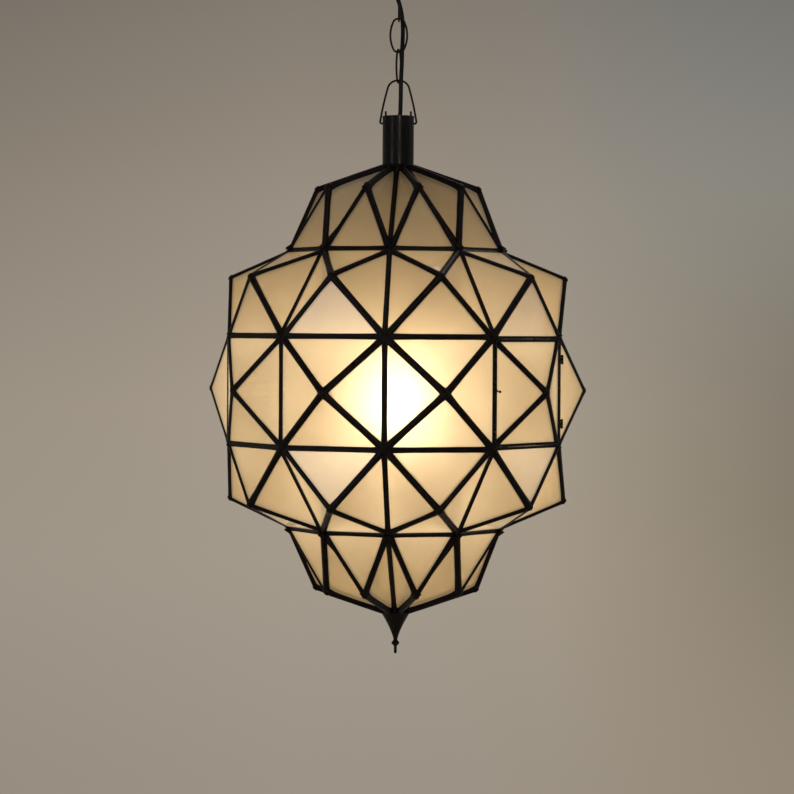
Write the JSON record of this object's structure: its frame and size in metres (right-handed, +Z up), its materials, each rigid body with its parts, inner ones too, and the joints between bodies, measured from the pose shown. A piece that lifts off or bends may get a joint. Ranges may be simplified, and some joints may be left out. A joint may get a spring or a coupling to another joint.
{
  "type": "faceted pendant light",
  "caption": "Faceted glass lantern pendant with soldered black seams, hung by bail, chain and cord from a ceiling canopy, with a hinged glass door for the bulb.",
  "frame": {"origin": "centre of the two mounting slots in the crossbar, on the ceiling plane", "axes": "+Z up out of the ceiling, +Y away from the viewer of the picture, +X to the viewer's right; the lantern hangs down the -Z axis"},
  "size_m": [0.4102, 0.4002, 0.8129],
  "materials": {
    "black_metal": "black patina, satin",
    "black_solder": "blackened solder, satin with bright worn tops",
    "tinned_metal": "tinned, worn",
    "brass": "dull lamp brass",
    "zinc_steel": "zinc plated",
    "opal_glass": "milk glass, glossy, with faint pink and grey swirls",
    "black_plastic": "moulded, matt",
    "cord_sheath": "smooth black flex",
    "porcelain": "glazed white",
    "bulb_glass": "frosted",
    "bulb_metal": "rolled, bright",
    "contact_black": "vitrite",
    "filament": "lit"
  },
  "bodies": {
    "ceiling_fitting": {"canopy": "black_metal", "crossbar": "zinc_steel", "ceiling_tube": "brass", "ceiling_nut": "brass", "hanging_ring": "black_metal", "terminal_block": "porcelain", "ceiling_leads": "cord_sheath", "cord_1": "cord_sheath"},
    "link_4": {"chain_link_4": "black_metal", "cord_2": "cord_sheath"},
    "link_3": {"chain_link_3": "black_metal", "cord_3": "cord_sheath"},
    "link_2": {"chain_link_2": "black_metal", "cord_4": "cord_sheath"},
    "link_1": {"chain_link_1": "black_metal", "cord_5": "cord_sheath"},
    "bail": {"bail": "black_metal", "cord_6": "cord_sheath"},
    "lantern": {"collar": "black_metal", "collar_strap": "zinc_steel", "stem": "brass", "stem_nuts": "brass", "cord_grip": "black_plastic", "inner_lead": "cord_sheath", "holder_cover": "black_plastic", "holder_body": "black_plastic", "holder_core": "porcelain", "screw_shell": "brass", "holder_contact": "brass", "bulb_glass": "bulb_glass", "bulb_cap": "bulb_metal", "bulb_contact": "contact_black", "bulb_filament": "filament", "crown_frame": "black_solder", "upper_frame": "black_solder", "belt_frame": "black_solder", "lower_frame": "black_solder", "base_frame": "black_solder", "finial": "black_metal", "crown_side_panes": "opal_glass", "crown_front_panes": "opal_glass", "upper_roof_panes": "opal_glass", "upper_side_panes": "opal_glass", "upper_face_panes": "opal_glass", "belt_top_panes": "opal_glass", "belt_side_panes": "opal_glass", "belt_bottom_panes": "opal_glass", "lower_face_panes": "opal_glass", "lower_side_panes": "opal_glass", "lower_roof_panes": "opal_glass", "base_front_panes": "opal_glass", "base_side_panes": "opal_glass", "frame_hinge_leaves": "black_solder", "hinge_pins": "tinned_metal", "latch_post": "tinned_metal"},
    "door": {"door_rim": "tinned_metal", "door_frame": "black_solder", "door_panes": "opal_glass", "door_hinge_leaves": "black_solder"},
    "latch": {"latch": "black_solder"}
  },
  "joints": [
    {"name": "link_4_swing", "type": "hinge", "parent": "ceiling_fitting", "child": "link_4", "pos_m": [0, 0, -0.061], "axis": [0, 1, 0], "range_deg": [-15, 15], "deforming": ["cord_1"]},
    {"name": "link_3_swing", "type": "hinge", "parent": "link_4", "child": "link_3", "pos_m": [0, 0, -0.0934], "axis": [1, 0, 0], "range_deg": [-15, 15], "deforming": ["cord_2"]},
    {"name": "link_2_swing", "type": "hinge", "parent": "link_3", "child": "link_2", "pos_m": [0, 0, -0.1267], "axis": [0, 1, 0], "range_deg": [-15, 15], "deforming": ["cord_3"]},
    {"name": "link_1_swing", "type": "hinge", "parent": "link_2", "child": "link_1", "pos_m": [0, 0, -0.16], "axis": [1, 0, 0], "range_deg": [-15, 15], "deforming": ["cord_4"]},
    {"name": "bail_swing", "type": "hinge", "parent": "link_1", "child": "bail", "pos_m": [0, 0, -0.1933], "axis": [0.2588, 0.9659, 0], "range_deg": [-15, 15], "deforming": ["cord_5"]},
    {"name": "lantern_swing", "type": "hinge", "parent": "bail", "child": "lantern", "pos_m": [0, 0, -0.23731], "axis": [1, 0, 0], "range_deg": [-15, 15], "deforming": ["cord_6"]},
    {"name": "door_hinge", "type": "hinge", "parent": "lantern", "child": "door", "pos_m": [0.17497, -0.07013, -0.52511], "axis": [0, 0, 1], "range_deg": [0, 120]},
    {"name": "latch_turn", "type": "hinge", "parent": "lantern", "child": "latch", "pos_m": [0.1015, -0.15992, -0.52251], "axis": [0.7678, -0.6406, 0], "range_deg": [0, 100]}
  ]
}
